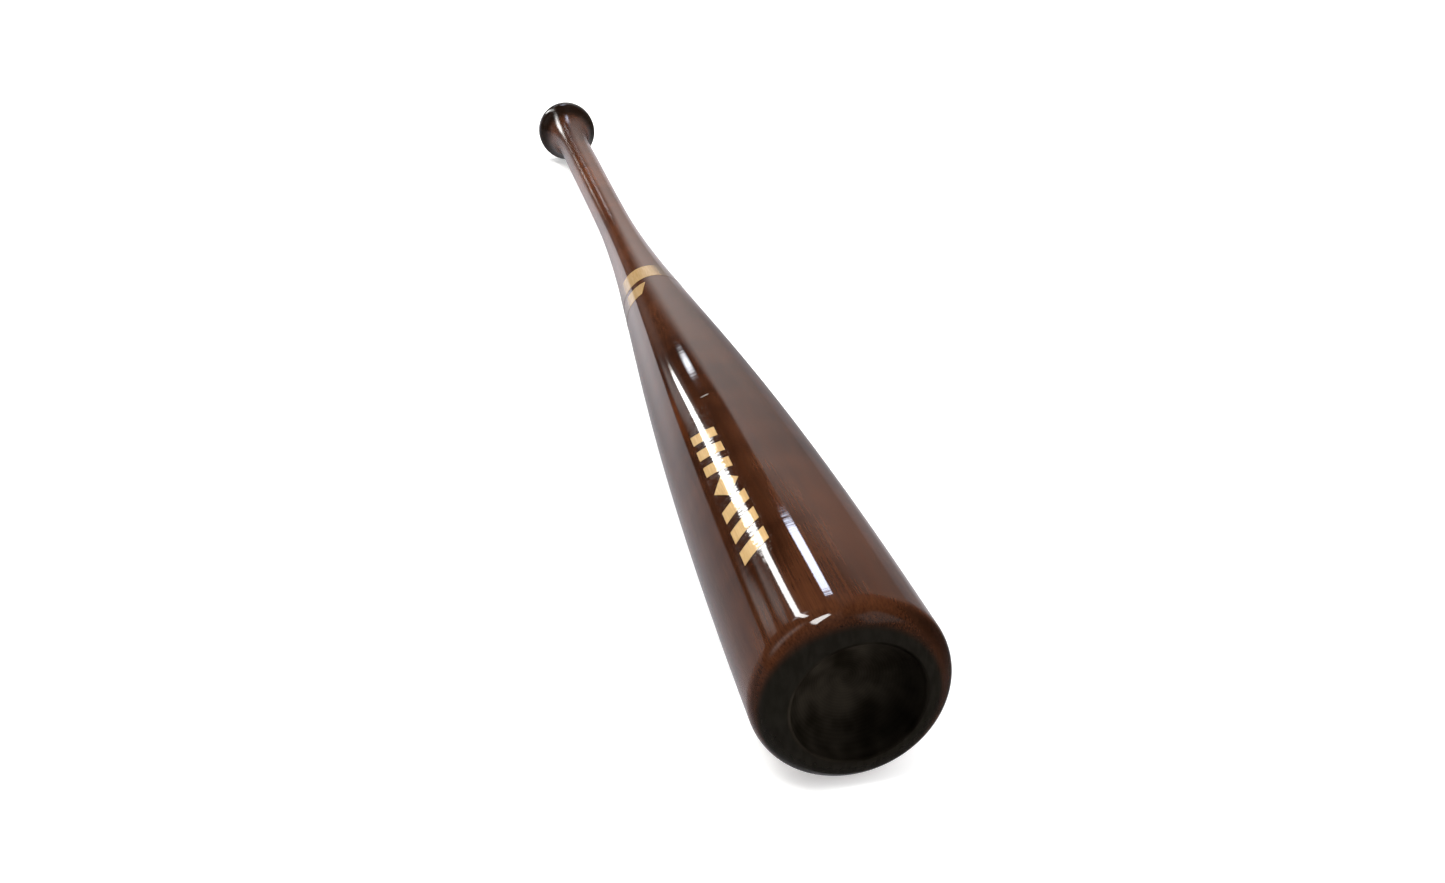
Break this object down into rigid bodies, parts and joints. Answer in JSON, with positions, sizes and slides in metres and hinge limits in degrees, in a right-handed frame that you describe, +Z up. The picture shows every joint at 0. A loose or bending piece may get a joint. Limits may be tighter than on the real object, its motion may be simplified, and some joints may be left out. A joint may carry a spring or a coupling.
{
  "type": "baseball bat",
  "caption": "Turned one-piece hardwood bat with a flared knob, a slim grip, a full barrel with a cupped end, and gold foil bands and a foil mark under gloss lacquer.",
  "frame": {"origin": "centre of the knob's flat end face", "axes": "+X along the bat's axis, from the knob towards the barrel's cupped end; +Z up, with the bat lying on its side; the foil mark is on the upper side, turned towards -Y"},
  "size_m": [0.864, 0.065, 0.065],
  "materials": {
    "lacquered_wood": "dark walnut stain under high-gloss clear lacquer",
    "gold_foil": "satin pale gold foil"
  },
  "bodies": {
    "root": {"bat_body": "lacquered_wood", "throat_foil_ring": "gold_foil", "throat_foil_stripe": "gold_foil", "barrel_foil_bar_1": "gold_foil", "barrel_foil_bar_2": "gold_foil", "barrel_foil_bar_3": "gold_foil", "barrel_foil_diamond": "gold_foil", "barrel_foil_bar_4": "gold_foil", "barrel_foil_bar_5": "gold_foil", "barrel_foil_bar_6": "gold_foil"}
  },
  "joints": []
}
